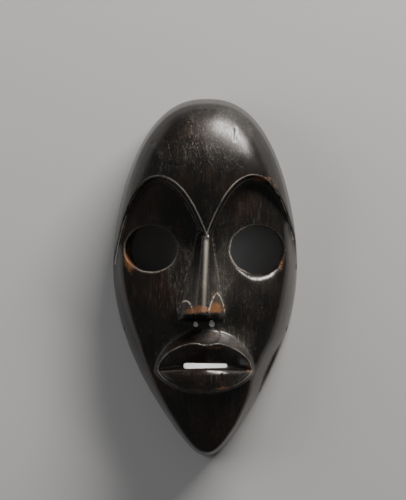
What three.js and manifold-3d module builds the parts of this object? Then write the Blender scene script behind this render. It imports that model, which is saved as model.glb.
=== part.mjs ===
import * as THREE from "three";
import { mergeVertices } from "three/addons/utils/BufferGeometryUtils.js";
import Module from "manifold-3d";

// A carved wooden Dan face mask, lying on its back rim with the face up.
// Millimetres. X runs across the face, Y from chin to crown, Z out of the face.
// The origin is on the rim plane, at the centre of the mask's length and width.

const wasm = await Module();
wasm.setup();

// Driving dimensions: the outline that the rim stands on
const maskHeight = 245;
const maskWidth = 126.4;
const widestAt = 0.065; // how far the widest line is above the middle, as a share of half the height
const crownFullness = 1.75;
const crownPower = 0.415;
const jawPower = 0.45;
const jawTaper = 0.525;
const endLean = 1.2; // crown and chin lean this far to the right of the middle

// Depths: how far each surface stands in front of the rim plane
const faceRise = 50;
const faceShoulder = 3.4;
const foreheadBulge = 11;
const foreheadShoulder = 10;
const shoulderPower = 1 / 2.4;
const socketDepth = 3;
const chinFall = 4;
const chinStart = 0.57; // share of half the height below the middle where the chin starts to fall back
const noseRootProud = 4;
const noseTipProud = 21;
const lipProud = 16;
const lipCornerDrop = 4;
const noseRootRise = faceRise + noseRootProud;
const noseTipRise = faceRise + noseTipProud;
const lipRise = faceRise + lipProud;
const lipCornerRise = faceRise - lipCornerDrop;
const mouthDepth = 10;
const mouthCornerDepth = 3;

// Walls and the hollow behind the face
const rimWall = 8;
const faceWall = 12;
const pocketWall = 4; // least wood left behind the nose and the mouth groove
const hollowRise = faceRise - faceWall;
const hollowShoulder = 3;
const hollowForeheadShoulder = 7;

// Bores
const nostrilBore = 3.2;
const tieHoleBore = 3;
const tieHoleHeight = 9;
const tieHolesPerSide = 5;
const slitHeight = 4.6;
const slitNarrowEnd = 4.3;

const halfHeight = maskHeight / 2;
const halfWidth = maskWidth / 2;
const centreY = widestAt * halfHeight;

// The carving, as shares of half the width (across) and of half the height (along)
const collarInset = 0.975; // the forehead dome starts this share of the way out to the rim
const foreheadTop = { along: 0.53, spreadAcross: 0.594, spreadAlong: 0.335 };
const socketAt = { along: 0.18, spread: 0.25 };
const brow = {
  topAcross: 0.522,
  topAlong: 0.572,
  rootAlong: 0.228,
  endAcross: 1.02,
  endAlong: 0.196,
  outerPower: 2.6,
  draft: 0.25,
};
const eyes = [
  {
    across: -0.585,
    along: 0.161,
    wide: 0.282,
    high: 0.127,
    backShift: 0.044,
    backWide: 0.238,
    backHigh: 0.12,
  },
  {
    across: 0.562,
    along: 0.157,
    wide: 0.289,
    high: 0.132,
    backShift: -0.012,
    backWide: 0.276,
    backHigh: 0.127,
  },
];
const eyeFlare = { from: 0.35, to: 0.66 }; // each eye opening widens between these shares of the face's rise
const nose = {
  rootAlong: 0.237,
  baseAlong: -0.202,
  rootAcross: 0.013,
  tipAcross: -0.019,
  rootLeft: 0.11,
  rootRight: 0.06,
  baseLeft: 0.294,
  baseRight: 0.228,
  bridgeRootHalf: 0.035,
  bridgeTipHalf: 0.082,
  undersideSlope: 0.24,
  profile: 1.15,
  bridgeDrop: 5,
  flankScoop: 0.62,
  footStart: 0.4,
  past: 1.12, // the wedge runs on this far beyond the tip, to be cut off
  sink: 2.5,
};
const noseWings = [
  { across: -0.215, half: 0.1, along: 0.085, rise: 0.52 }, // rise is a share of the nose tip's
  { across: 0.12, half: 0.09, along: 0.1, rise: 0.52 },
];
const mouth = {
  across: -0.005,
  along: -0.517,
  half: 0.506,
  upper: 0.157,
  lower: 0.123,
  upperPower: 0.52,
  lowerPower: 0.68,
  grooveRise: 0.026,
  cornerTuck: 0.05, // the groove stops this share short of the lip corners
  dip: 0.018,
  dipAcross: 0.024,
  dipSpread: 0.09,
  skirtHalf: 0.541,
  skirtUpper: 0.253,
  skirtLower: 0.014,
  lowerFlare: 0.7,
  sink: 3,
  floor: 0.3, // the muzzle starts at this share of the hollow's height
};
const muzzleFlare = [ // shares of the way in from the skirt to the lip edge, and of the climb made there
  [0.4, 0.25],
  [0.75, 0.6],
];
const lipFall = [ // shares of the way out from the groove, and of the climb left on each lip
  { inset: 0.95, upper: 0.96, lower: 0.99 },
  { inset: 0.7, upper: 0.66, lower: 1 },
  { inset: 0.4, upper: 0.3, lower: 0.94 },
  { inset: 0.2, upper: 0.1, lower: 0.55 },
  { inset: 0, upper: 0, lower: 0 },
];
const pockets = [
  { across: -0.005, along: -0.5, half: 0.38, high: 0.12, top: lipRise - mouthDepth - pocketWall },
  { across: -0.01, along: -0.06, half: 0.13, high: 0.17, top: faceRise - pocketWall },
];
const slit = { across: 0.002, half: 0.24 };
const nostrils = { left: -0.103, right: 0.073, along: -0.26 };

// Facets
const pointsPerSide = { face: 38, forehead: 35, hollow: 33, foreheadHollow: 30 };
const holeSides = 36;
const boreSides = 12;
const slitEndSides = 6;
const lobeSides = 18;
const lobeRings = 11;
const domeRings = { wall: 7, crown: 6 };
const hollowRings = { wall: 5, crown: 6 };
const beyond = 1.3; // cutters run this far past what they cut
const mergeWithin = 0.02; // edges shorter than this are closed up after the cuts
const browSteps = 72;
const noseSteps = 9;
const lipSides = 52;
const tieHoleSpan = [-0.62, 0.74];

const mix = (a, b, t) => a + (b - a) * t;
const bell = (distance, spread) => Math.exp(-((distance / spread) ** 2));

// Half the width of the outline at a height y on the face.
function outlineHalf(y) {
  const above = y > centreY;
  const t = Math.min(1, Math.abs(y - centreY) / (above ? halfHeight - centreY : halfHeight + centreY));
  return above
    ? halfWidth * (1 - t ** crownFullness) ** crownPower
    : halfWidth * (1 - jawTaper * t * t) * (1 - t * t) ** jawPower;
}

const leanAt = (y) => endLean * (y / halfHeight) ** 2;

// The outline, before it leans, as a closed loop of points, up the right side and down the left.
function outlineLoop(perSide) {
  const loop = [];
  for (const side of [1, -1])
    for (let i = 0; i < perSide; i++) {
      const y = -side * halfHeight * Math.cos((Math.PI * i) / perSide);
      loop.push(new THREE.Vector2(side * outlineHalf(y), y));
    }
  return loop;
}

const tiny = 1e-4;
const farShare = 4; // well outside the outline
const halvings = 40;

// How far a point is from the widest line's centre, as a share of the way to the outline.
function outShare(x, y) {
  if (Math.hypot(x, y - centreY) < tiny) return 0;
  let low = tiny;
  let high = farShare;
  for (let i = 0; i < halvings; i++) {
    const share = (low + high) / 2;
    const inside = Math.abs(x) / share < outlineHalf(centreY + (y - centreY) / share)
      && Math.abs(y) < farShare * halfHeight * share;
    if (inside) high = share;
    else low = share;
  }
  return (low + high) / 2;
}

const shoulder = (share, power) => Math.max(0, 1 - share ** power) ** shoulderPower;

// The face below the brow: a broad shield, a little hollow across the eyes, falling back at the chin.
function faceCrest(y) {
  const socket = socketDepth * bell(y - socketAt.along * halfHeight, socketAt.spread * halfHeight);
  const chinShare = Math.max(0, -y / halfHeight - chinStart) / (1 - chinStart);
  return faceRise - socket - chinFall * chinShare ** 2;
}
const faceAt = (x, y) => faceCrest(y) * shoulder(outShare(x - leanAt(y), y), faceShoulder);

// The forehead: a dome that stands on the face and starts just inside the rim.
const foreheadCrest = (x, y) =>
  faceRise
  + foreheadBulge
    * bell(x, foreheadTop.spreadAcross * halfWidth)
    * bell(y - foreheadTop.along * halfHeight, foreheadTop.spreadAlong * halfHeight);
const foreheadAt = (x, y) =>
  foreheadCrest(x, y) * shoulder(outShare(x - leanAt(y), y) / collarInset, foreheadShoulder);

// A closed solid from loops of points with equal counts. Loop after loop is joined, the first is
// closed by a fan, and so is the last, unless it has folded flat on itself.
function solidOf(loops, { folded = false } = {}) {
  const count = loops[0].length;
  const positions = loops.flat().flatMap((p) => [p.x, p.y, p.z]);
  const faces = [];
  for (let k = 0; k + 1 < loops.length; k++)
    for (let i = 0; i < count; i++) {
      const j = (i + 1) % count;
      const [a, b, c, d] = [k * count + i, k * count + j, (k + 1) * count + j, (k + 1) * count + i];
      faces.push([a, b, c], [a, c, d]);
    }
  const fan = (k, outward) => {
    const centre = loops[k].reduce((s, p) => s.add(p), new THREE.Vector3()).divideScalar(count);
    const tip = positions.push(centre.x, centre.y, centre.z) / 3 - 1;
    for (let i = 0; i < count; i++) {
      const [a, b] = [k * count + i, k * count + ((i + 1) % count)];
      faces.push(outward ? [a, b, tip] : [b, a, tip]);
    }
  };
  fan(0, false);
  if (!folded) fan(loops.length - 1, true);
  const geometry = new THREE.BufferGeometry();
  geometry.setAttribute("position", new THREE.Float32BufferAttribute(positions, 3));
  geometry.setIndex(faces.flat());
  return solidFrom(geometry);
}

// A three.js geometry, merged at its shared corners, as a solid that can be cut and joined.
function solidFrom(geometry) {
  const bare = geometry.clone();
  bare.deleteAttribute("normal");
  bare.deleteAttribute("uv");
  const merged = mergeVertices(bare, tiny);
  const index = merged.index.array;
  const triangles = [];
  for (let i = 0; i < index.length; i += 3) {
    const [a, b, c] = [index[i], index[i + 1], index[i + 2]];
    if (a !== b && b !== c && c !== a) triangles.push(a, b, c);
  }
  return new wasm.Manifold(
    new wasm.Mesh({
      numProp: 3,
      vertProperties: new Float32Array(merged.attributes.position.array),
      triVerts: new Uint32Array(triangles),
    }),
  );
}

// Shares of the way out to the outline, from the rim inwards, close together where a shoulder turns.
function ringShares(power, wallRings, crownRings) {
  const turned = 0.9; // share of the climb that the shoulder's rings make
  const shares = [];
  for (let i = 0; i < wallRings; i++) {
    const climbed = turned * Math.sin((Math.PI / 2) * (i / wallRings));
    shares.push((1 - climbed ** (1 / shoulderPower)) ** (1 / power));
  }
  const last = (1 - turned ** (1 / shoulderPower)) ** (1 / power);
  for (let i = 0; i < crownRings; i++) shares.push(last * (1 - i / crownRings));
  return shares;
}

// A dome over the outline: a flat underside, then rings that climb to the height function.
function domeOf({ sides, inset = 1, power, heightAt, base = 0, shrink = [1, 1], rings = domeRings }) {
  const outline = outlineLoop(sides);
  const loop = (share, height) =>
    outline.map((p) => {
      const y = centreY + (p.y - centreY) * inset * share * shrink[1];
      const x = leanAt(y) + p.x * inset * share * shrink[0];
      return new THREE.Vector3(x, y, height === null ? heightAt(x, y) : height);
    });
  const shares = ringShares(power, rings.wall, rings.crown);
  return solidOf([loop(1, base), ...shares.slice(1).map((share) => loop(share, null))]);
}

// The brow line: two arches that spring from the nose root and run out to the temples.
function browLine(x) {
  const top = brow.topAcross * halfWidth;
  const out = Math.abs(x);
  if (out < top)
    return halfHeight * mix(brow.topAlong, brow.rootAlong, (1 - out / top) ** 2);
  const share = (out - top) / (brow.endAcross * halfWidth - top);
  return halfHeight * mix(brow.topAlong, brow.endAlong, share ** brow.outerPower);
}

// Everything further above the brow line than the setback. Its wall leans, so that the ledge under the
// brow shows from the front.
function aboveBrow(setback) {
  const reach = beyond * halfWidth;
  const roof = beyond * halfHeight;
  const shape = new THREE.Shape();
  shape.moveTo(-reach, browLine(-reach));
  for (let i = 1; i <= browSteps; i++) {
    const x = mix(-reach, reach, i / browSteps);
    shape.lineTo(x, browLine(x));
  }
  shape.lineTo(reach, roof);
  shape.lineTo(-reach, roof);
  const prism = new THREE.ExtrudeGeometry(shape, { depth: 3 * faceRise, bevelEnabled: false });
  prism.translate(0, 0, -2 * faceRise);
  prism.applyMatrix4(new THREE.Matrix4().makeShear(0, 0, 0, 0, 0, brow.draft));
  prism.translate(0, setback, faceRise);
  return solidFrom(prism);
}

// The nose: a narrow bridge that rises to the tip, and flanks that sweep out to the cheeks.
function noseWedge() {
  const sections = [];
  for (let i = 0; i <= noseSteps; i++) {
    const t = nose.past * (1 - i / noseSteps); // 0 at the root and 1 at the tip
    const y = mix(nose.rootAlong, nose.baseAlong, t) * halfHeight;
    const x = mix(nose.rootAcross, nose.tipAcross, t) * halfWidth;
    const crest = mix(noseRootRise, noseTipRise, t ** nose.profile);
    const drop = mix(0.5, 1, t) * nose.bridgeDrop; // the bridge is half as round at the root
    const bridge = mix(nose.bridgeRootHalf, nose.bridgeTipHalf, t) * halfWidth;
    const flank = (side) => {
      const [root, base] = side < 0 ? [nose.rootLeft, nose.baseLeft] : [nose.rootRight, nose.baseRight];
      const spread = mix(root, base, t) * halfWidth;
      const foot = faceAt(x + side * spread, y) - nose.sink;
      return [
        [bridge / 2, crest - drop / 6],
        [bridge, crest - drop],
        [mix(bridge, spread, nose.footStart), mix(crest - drop, foot, nose.flankScoop)],
        [spread, foot],
        [spread, foot - nose.sink],
      ].map(([out, z]) => new THREE.Vector3(x + side * out, y, z));
    };
    sections.push([...flank(-1).reverse(), new THREE.Vector3(x, y, crest), ...flank(1)]);
  }
  return solidOf(sections);
}

// One wing of the nose: a rounded lobe beside the bridge, above the flat underside.
function noseWing({ across, half, along, rise }) {
  const lobe = new THREE.SphereGeometry(1, lobeSides, lobeRings);
  lobe.scale(half * halfWidth, along * halfHeight, rise * noseTipProud);
  lobe.translate(across * halfWidth, nose.baseAlong * halfHeight, faceRise);
  return solidFrom(lobe);
}

// The nose is cut off below by a flat plane that leans back towards the lip.
function noseSolid() {
  const tipY = nose.baseAlong * halfHeight;
  const cutter = new THREE.BoxGeometry(maskWidth, halfHeight, 4 * faceRise);
  cutter.translate(0, -halfHeight / 2, 0);
  cutter.applyMatrix4(new THREE.Matrix4().makeShear(0, 0, 0, 0, 0, nose.undersideSlope));
  cutter.translate(0, tipY, noseTipRise);
  const whole = noseWings.reduce((all, wing) => all.add(noseWing(wing)), noseWedge());
  return whole.subtract(solidFrom(cutter));
}

// The mouth is a lens: an upper and a lower edge that meet in two corners, and a groove between them.
const mouthX = mouth.across * halfWidth;
const mouthY = mouth.along * halfHeight;
const upperLip = (u) =>
  mouthY
  + halfHeight * mouth.upper * (1 - u * u) ** mouth.upperPower
  - halfHeight * mouth.dip * bell(u - mouth.dipAcross, mouth.dipSpread / mouth.half);
const lowerLip = (u) => mouthY - halfHeight * mouth.lower * (1 - u * u) ** mouth.lowerPower;
const lipEdgeRise = (u) => mix(lipRise, lipCornerRise, u * u);
const grooveY = (u) => mouthY + halfHeight * mouth.grooveRise * (1 - u * u);
const grooveRise = (u) => lipEdgeRise(u) - mix(mouthDepth, mouthCornerDepth, u * u);

// The muzzle flares from the face to the sharp edge of the lips, then falls back into the groove.
function muzzle() {
  const angles = Array.from({ length: lipSides }, (_, i) => (2 * Math.PI * i) / lipSides);
  const edge = (a, inset = 1) => {
    const u = Math.cos(a);
    const x = mouthX + mouth.half * halfWidth * u * (1 - mouth.cornerTuck * (1 - inset));
    const y = Math.sin(a) >= 0 ? upperLip(u) : lowerLip(u);
    return new THREE.Vector3(x, mix(grooveY(u), y, inset), lipEdgeRise(u));
  };
  const skirt = (a) => {
    const u = Math.cos(a);
    const x = mouthX + mouth.skirtHalf * halfWidth * u;
    const reach = mouth.skirtUpper * halfHeight * Math.sqrt(Math.max(0, 1 - u * u));
    const y = Math.sin(a) >= 0 ? mouthY + reach : lowerLip(u) - mouth.skirtLower * halfHeight;
    return new THREE.Vector3(x, y, faceAt(x, y) - mouth.sink);
  };
  const loops = [angles.map((a) => skirt(a).setZ(mouth.floor * hollowRise)), angles.map(skirt)];
  for (const [out, climb] of muzzleFlare)
    loops.push(angles.map((a) => {
      const [low, high] = [skirt(a), edge(a)];
      const p = low.clone().lerp(high, out);
      const steep = Math.sin(a) >= 0 ? climb : mix(climb, out, mouth.lowerFlare);
      return p.setZ(mix(low.z, high.z, steep));
    }));
  loops.push(angles.map((a) => edge(a)));
  for (const { inset, upper, lower } of lipFall)
    loops.push(angles.map((a) => {
      const p = edge(a, inset);
      const u = Math.cos(a);
      return p.setZ(mix(grooveRise(u), p.z, Math.sin(a) >= 0 ? upper : lower));
    }));
  return solidOf(loops, { folded: true });
}

// An eye opening: an oval that narrows a little towards the back of the wall.
function eyeHole(eye) {
  const oval = (z, across, wide, high) =>
    Array.from({ length: holeSides }, (_, i) => {
      const a = (2 * Math.PI * i) / holeSides;
      return new THREE.Vector3(
        halfWidth * (across + wide * Math.cos(a)),
        halfHeight * (eye.along + high * Math.sin(a)),
        z,
      );
    });
  const back = [eye.across + eye.backShift, eye.backWide, eye.backHigh];
  const front = [eye.across, eye.wide, eye.high];
  return solidOf([
    oval(-faceRise, ...back),
    oval(eyeFlare.from * faceRise, ...back),
    oval(eyeFlare.to * faceRise, ...front),
    oval(2 * faceRise, ...front),
  ]);
}

// The slit between the lips: a slot with round ends, a little lower at one end.
function mouthSlit() {
  const [r0, r1] = [slitHeight / 2, slitNarrowEnd / 2];
  const reach = slit.half * halfWidth;
  const shape = new THREE.Shape();
  shape.absarc(reach - r1, 0, r1, -Math.PI / 2, Math.PI / 2, false);
  shape.absarc(-reach + r0, 0, r0, Math.PI / 2, (3 * Math.PI) / 2, false);
  const settings = { depth: 3 * faceRise, bevelEnabled: false, curveSegments: slitEndSides };
  const slot = new THREE.ExtrudeGeometry(shape, settings);
  slot.translate(slit.across * halfWidth, grooveY(0), -faceRise);
  return solidFrom(slot);
}

function nostril(across) {
  const bore = new THREE.CylinderGeometry(nostrilBore / 2, nostrilBore / 2, 4 * faceRise, boreSides);
  bore.rotateX(Math.PI / 2);
  bore.translate(across * halfWidth, nostrils.along * halfHeight, 0);
  return solidFrom(bore);
}

// The small holes round the rim, by which the mask is tied to its cap and costume.
function tieHoles() {
  const holes = [];
  for (const side of [-1, 1])
    for (let i = 0; i < tieHolesPerSide; i++) {
      const y = mix(tieHoleSpan[0], tieHoleSpan[1], i / (tieHolesPerSide - 1)) * halfHeight;
      const step = 0.01 * halfHeight;
      const slope = (outlineHalf(y + step) - outlineHalf(y - step)) / (2 * step);
      const through = 2 * beyond * rimWall;
      const hole = new THREE.CylinderGeometry(tieHoleBore / 2, tieHoleBore / 2, through, boreSides);
      hole.rotateZ(side * (Math.PI / 2 - Math.atan(slope)));
      hole.translate(leanAt(y) + side * (outlineHalf(y) - rimWall / 2), y, tieHoleHeight);
      holes.push(solidFrom(hole));
    }
  return holes;
}

// The hollow behind the face follows its front: one dome for the face, and a fuller one that starts a
// wall's thickness above the brow line for the forehead.
function hollowDome(sides, power, crestAt) {
  const shrink = [1 - rimWall / halfWidth, 1 - rimWall / (halfHeight - centreY)];
  const heightAt = (x, y) => {
    const share = outShare((x - leanAt(y)) / shrink[0], centreY + (y - centreY) / shrink[1]);
    return crestAt(x, y) * shoulder(share, power);
  };
  return domeOf({ sides, power, heightAt, base: -1, shrink, rings: hollowRings });
}
const foreheadHollowAt = (x, y) => foreheadCrest(x, y) - faceWall;

// A bowl cut deeper into the hollow, behind the nose or the mouth.
function pocket({ across, along, half, high, top }) {
  const bowl = new THREE.SphereGeometry(1, lobeSides, lobeRings);
  bowl.rotateX(Math.PI / 2);
  bowl.scale(half * halfWidth, high * halfHeight, top - hollowRise);
  bowl.translate(across * halfWidth, along * halfHeight, hollowRise);
  return solidFrom(bowl);
}

const face = domeOf({ sides: pointsPerSide.face, power: faceShoulder, heightAt: faceAt });
const forehead = domeOf({
  sides: pointsPerSide.forehead,
  inset: collarInset,
  power: foreheadShoulder,
  heightAt: foreheadAt,
  base: 1,
});
const added = [forehead.intersect(aboveBrow(0)), muzzle(), noseSolid()];
const block = added.reduce((all, part) => all.add(part), face);
const cutters = [
  hollowDome(pointsPerSide.hollow, hollowShoulder, () => hollowRise),
  hollowDome(pointsPerSide.foreheadHollow, hollowForeheadShoulder, foreheadHollowAt).intersect(aboveBrow(faceWall)),
  ...pockets.map(pocket),
  ...eyes.map(eyeHole),
  mouthSlit(),
  nostril(nostrils.left),
  nostril(nostrils.right),
  ...tieHoles(),
];
const carved = cutters.reduce((all, cutter) => all.subtract(cutter), block).simplify(mergeWithin);

// Closes up every edge that is shorter than the merging distance.
function withoutShortEdges(solid) {
  const { vertProperties: at, triVerts } = solid.getMesh();
  const kept = Array.from({ length: at.length / 3 }, (_, i) => i);
  const keptAs = (i) => (kept[i] === i ? i : keptAs(kept[i]));
  const place = (i) => new THREE.Vector3(...at.slice(3 * i, 3 * i + 3));
  for (let k = 0; k < triVerts.length; k++) {
    const next = k % 3 === 2 ? k - 2 : k + 1;
    const [a, b] = [keptAs(triVerts[k]), keptAs(triVerts[next])];
    if (a !== b && place(a).distanceTo(place(b)) < mergeWithin) kept[Math.max(a, b)] = Math.min(a, b);
  }
  const geometry = new THREE.BufferGeometry();
  geometry.setAttribute("position", new THREE.Float32BufferAttribute(at, 3));
  geometry.setIndex([...triVerts].map(keptAs));
  return solidFrom(geometry);
}

function geometryOf(solid) {
  const mesh = solid.getMesh();
  const geometry = new THREE.BufferGeometry();
  geometry.setAttribute("position", new THREE.Float32BufferAttribute(mesh.vertProperties, 3));
  geometry.setIndex([...mesh.triVerts]);
  geometry.computeVertexNormals();
  return geometry;
}

const wood = new THREE.MeshStandardMaterial({ color: 0x1d1712, roughness: 0.35, metalness: 0 });
const mask = new THREE.Mesh(geometryOf(withoutShortEdges(carved)), wood);
mask.name = "mask";

const part = new THREE.Group();
part.add(mask);

export default part;
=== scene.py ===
"""A carved wooden Dan face mask, lying on its back rim and seen from straight above.

The mask is one block. Its surface is worked out as a field, in millimetres, that is positive inside the
wood, from the same domes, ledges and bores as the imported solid, with edges worn round. The field is
meshed, and its polished dark wood is a procedural material.
"""

import math

import bpy
import numpy as np
import openvdb
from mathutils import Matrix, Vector


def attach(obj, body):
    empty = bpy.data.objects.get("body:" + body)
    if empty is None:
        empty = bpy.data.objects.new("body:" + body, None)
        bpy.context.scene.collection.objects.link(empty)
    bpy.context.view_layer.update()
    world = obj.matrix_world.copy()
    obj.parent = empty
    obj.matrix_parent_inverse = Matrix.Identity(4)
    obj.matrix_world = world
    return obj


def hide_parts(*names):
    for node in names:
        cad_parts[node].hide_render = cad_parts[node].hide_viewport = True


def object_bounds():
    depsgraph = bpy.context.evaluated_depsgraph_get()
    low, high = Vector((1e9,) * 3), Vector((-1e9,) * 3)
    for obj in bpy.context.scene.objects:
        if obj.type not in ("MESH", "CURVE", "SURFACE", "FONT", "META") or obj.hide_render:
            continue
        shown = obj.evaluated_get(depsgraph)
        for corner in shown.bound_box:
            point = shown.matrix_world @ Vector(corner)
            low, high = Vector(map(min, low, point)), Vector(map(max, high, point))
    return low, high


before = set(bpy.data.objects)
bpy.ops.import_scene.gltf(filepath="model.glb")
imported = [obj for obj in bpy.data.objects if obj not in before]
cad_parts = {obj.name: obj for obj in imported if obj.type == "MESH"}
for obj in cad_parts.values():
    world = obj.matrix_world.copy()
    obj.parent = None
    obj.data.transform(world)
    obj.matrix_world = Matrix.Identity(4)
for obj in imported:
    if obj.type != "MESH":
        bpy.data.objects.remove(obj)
cad_low, cad_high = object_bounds()

MM = 0.001

# The camera looks straight down. The photograph's frame is 500 pixels high, 0.6863 mm each.
PIXEL_MM = 0.6863
FRAME_PIXELS = 500
VIEW_CENTRE = (-1.5, 18.9)
LENS_MM = 1200
SENSOR_MM = 36

# Overall sizes of the carving, in millimetres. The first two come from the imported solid.
HALF_HEIGHT = round(float(cad_high[1] - cad_low[1]) / MM / 2, 1)
HALF_WIDTH = round(float(cad_high[0] - cad_low[0]) / MM / 2, 1)
CENTRE_Y = 0.065 * HALF_HEIGHT
END_LEAN = 1.2
FACE_RISE = 50
FOREHEAD_BULGE = 11
RIM_WALL = 8
FACE_WALL = 12
HOLLOW_RISE = FACE_RISE - FACE_WALL

# The grid that the field is worked out on. Far from the surface the field is held at its limit, and a
# point beyond the grid is read at its last rows.
CELL = 0.75
GRID_X = (-67, 67)
GRID_Y = (-127, 127)
GRID_Z = (-4, 75)
FIELD_LIMIT = 9.0
LEAST_SLOPE = 1e-4
LAST_ROW = 1.001


def axis(low, high):
    return np.arange(low, high + CELL, CELL)


xs = axis(*GRID_X)
ys = axis(*GRID_Y)
zs = axis(*GRID_Z)
X2, Y2 = np.meshgrid(xs, ys, indexing="ij")
X = X2[:, :, None]
Y = Y2[:, :, None]
Z = zs[None, None, :]


def mix(a, b, t):
    """From a where t is 0 to b where it is 1."""
    return a + (b - a) * t


def bell(distance, spread):
    """1 in the middle, falling away over this spread."""
    return np.exp(-((distance / spread) ** 2))


def smooth(t):
    """The same way from 0 to 1, with a gentle start and end."""
    return t * t * (3 - 2 * t)


def ramp(value, start, end):
    """From 0 at start to 1 at end, smoothly."""
    return smooth(np.clip((value - start) / (end - start), 0, 1))


def join(a, b, radius):
    """Both solids together, with a fillet of about this radius where they meet."""
    near = np.maximum(radius - np.abs(a - b), 0) / radius
    return np.maximum(a, b) + near * near * radius / 4


def keep(a, b, radius):
    """What lies in both solids, with the edge between them worn round."""
    return -join(-a, -b, radius)


def cut(a, b, radius):
    """The first solid less the second, with the edge between them worn round."""
    return keep(a, -b, radius)


def level(field):
    """A field scaled so that near its surface it counts millimetres."""
    slope = np.sqrt(sum(g * g for g in np.gradient(field, CELL)))
    return np.clip(field / np.maximum(slope, LEAST_SLOPE), -FIELD_LIMIT, FIELD_LIMIT)


def height_field(height):
    """The solid under a height map."""
    gx, gy = np.gradient(height, CELL)
    return (height[:, :, None] - Z) / np.sqrt(1 + gx * gx + gy * gy)[:, :, None]


# The corner and the size of the area that random unevenness covers, and its spare rows
NOISE_CORNER = (-68, -128)
NOISE_AREA = (140, 260)
NOISE_SPARE = 5


def soft_noise(size, seed):
    """A smooth random map over the face, from -1 to 1, with features of about this many millimetres."""
    random = np.random.default_rng(seed)
    knots = random.uniform(-1, 1, [int(length / size) + NOISE_SPARE for length in NOISE_AREA])
    u = (X2 - NOISE_CORNER[0]) / size
    v = (Y2 - NOISE_CORNER[1]) / size
    i, j = u.astype(int), v.astype(int)
    s, t = smooth(u - i), smooth(v - j)
    low = mix(knots[i, j], knots[i + 1, j], s)
    high = mix(knots[i, j + 1], knots[i + 1, j + 1], s)
    return mix(low, high, t)


# The outline in the front view: a round crown over jaws that taper to the chin
CROWN_SWELL = 1.75
CROWN_ROUND = 0.415
JAW_TAPER = 0.525
JAW_ROUND = 0.45
OUTLINE_POINTS = 4000


def outline_half(y):
    """Half the mask's width at this height."""
    above = np.clip((y - CENTRE_Y) / (HALF_HEIGHT - CENTRE_Y), 0, 1)
    below = np.clip((CENTRE_Y - y) / (HALF_HEIGHT + CENTRE_Y), 0, 1)
    crown = HALF_WIDTH * (1 - above**CROWN_SWELL) ** CROWN_ROUND
    jaw = HALF_WIDTH * (1 - JAW_TAPER * below**2) * (1 - below**2) ** JAW_ROUND
    return np.where(y > CENTRE_Y, crown, jaw)


edge_y = HALF_HEIGHT * np.cos(np.linspace(math.pi, 0, OUTLINE_POINTS))
edge_x = outline_half(edge_y)
edge_angle = np.arctan2(edge_y - CENTRE_Y, edge_x)
edge_reach = np.hypot(edge_x, edge_y - CENTRE_Y)


def lean(y):
    """How far to the right the middle line is, which is most at the crown and the chin."""
    return END_LEAN * (y / HALF_HEIGHT) ** 2


def reach_from_centre(x, y):
    """How far the outline is from the centre, in the direction of each point."""
    return np.interp(np.arctan2(y - CENTRE_Y, np.abs(x)), edge_angle, edge_reach)


def out_share(x, y):
    """How far out each point is: 0 at the centre, 1 on the outline."""
    return np.hypot(x, y - CENTRE_Y) / reach_from_centre(x, y)


share = out_share(X2 - lean(Y2), Y2)
reach = reach_from_centre(X2 - lean(Y2), Y2)

DOME_POWER = 2.4


def dome(crest, out, power):
    """A dome of this height over the outline, with steeper sides where the power is higher."""
    climbed = np.maximum(Z, 0) / crest[:, :, None]
    return level(1 - climbed**DOME_POWER - (out**power)[:, :, None])


# A steep side wall runs all round, and a gently domed front is kept inside it. The wall's width in the
# front view is given at heights from chin to crown.
BAND_AT = (-122, -100, -70, -45, 0, 60, 122)
LEFT_BAND = (3.0, 4.0, 6.0, 8.0, 6.3, 6.0, 6.0)
RIGHT_BAND = (3.0, 4.5, 10.0, 9.7, 8.0, 6.5, 6.0)
FOREHEAD_SIDE_BAND = 4.8
FOREHEAD_TOP_BAND = 6.2
WALL_TOP = 34
FOREHEAD_WALL_TOP = 42
WALL_POWER = 1.8
SIDES_MEET = 15
TOP_BAND_Y = (60, 115)
left_band = np.interp(Y2, BAND_AT, LEFT_BAND)
right_band = np.interp(Y2, BAND_AT, RIGHT_BAND)
band = mix(left_band, right_band, ramp(X2, -SIDES_MEET, SIDES_MEET)) / reach
forehead_band = mix(FOREHEAD_SIDE_BAND, FOREHEAD_TOP_BAND, ramp(Y2, *TOP_BAND_Y)) / reach


def gentle_front(crest, wall_share, fall, power):
    """A front that falls by this share of its height on the way out to the side wall."""
    return crest * (1 - fall * (share / (1 - wall_share)) ** power)


def steep_wall(width, top, out):
    """The solid within a wall that leans in by this width on its way up to the top."""
    leaning_in = width[:, :, None] * (np.maximum(Z, 0) / top) ** WALL_POWER
    return level(1 - leaning_in - out)


# The face below the brow, which dips at the eyes and drops towards the chin
EYE_DIP = 3
EYE_DIP_Y = 0.18 * HALF_HEIGHT
EYE_DIP_SPREAD = 0.25 * HALF_HEIGHT
CHIN_START = 0.57
CHIN_DROP = 4
FACE_EDGE = 1.8
chin = np.maximum(0, -ys / HALF_HEIGHT - CHIN_START) / (1 - CHIN_START)
crest_line = FACE_RISE - EYE_DIP * bell(ys - EYE_DIP_Y, EYE_DIP_SPREAD) - CHIN_DROP * chin**2
face_crest = np.broadcast_to(crest_line, X2.shape)
face_height = gentle_front(face_crest, band, fall=0.32, power=3)

# At the right jaw the wall is cut back a little above the rim, which leaves a narrow ledge
JAW_CUT = 1.7
JAW_CUT_INNER = 10
JAW_CUT_BELOW = (-84, -64)
JAW_CUT_ABOVE = (-40, -56)
JAW_LEDGE_RISE = (11.5, 13)
jaw_cut = JAW_CUT / reach * ramp(X2, 0, JAW_CUT_INNER)
jaw_cut = jaw_cut * ramp(Y2, *JAW_CUT_ABOVE) * ramp(Y2, *JAW_CUT_BELOW)
cut_back = jaw_cut[:, :, None] * ramp(Z, *JAW_LEDGE_RISE)
face_wall = steep_wall(band, WALL_TOP, share[:, :, None] + cut_back)
face = keep(height_field(face_height), face_wall, FACE_EDGE)

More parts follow.
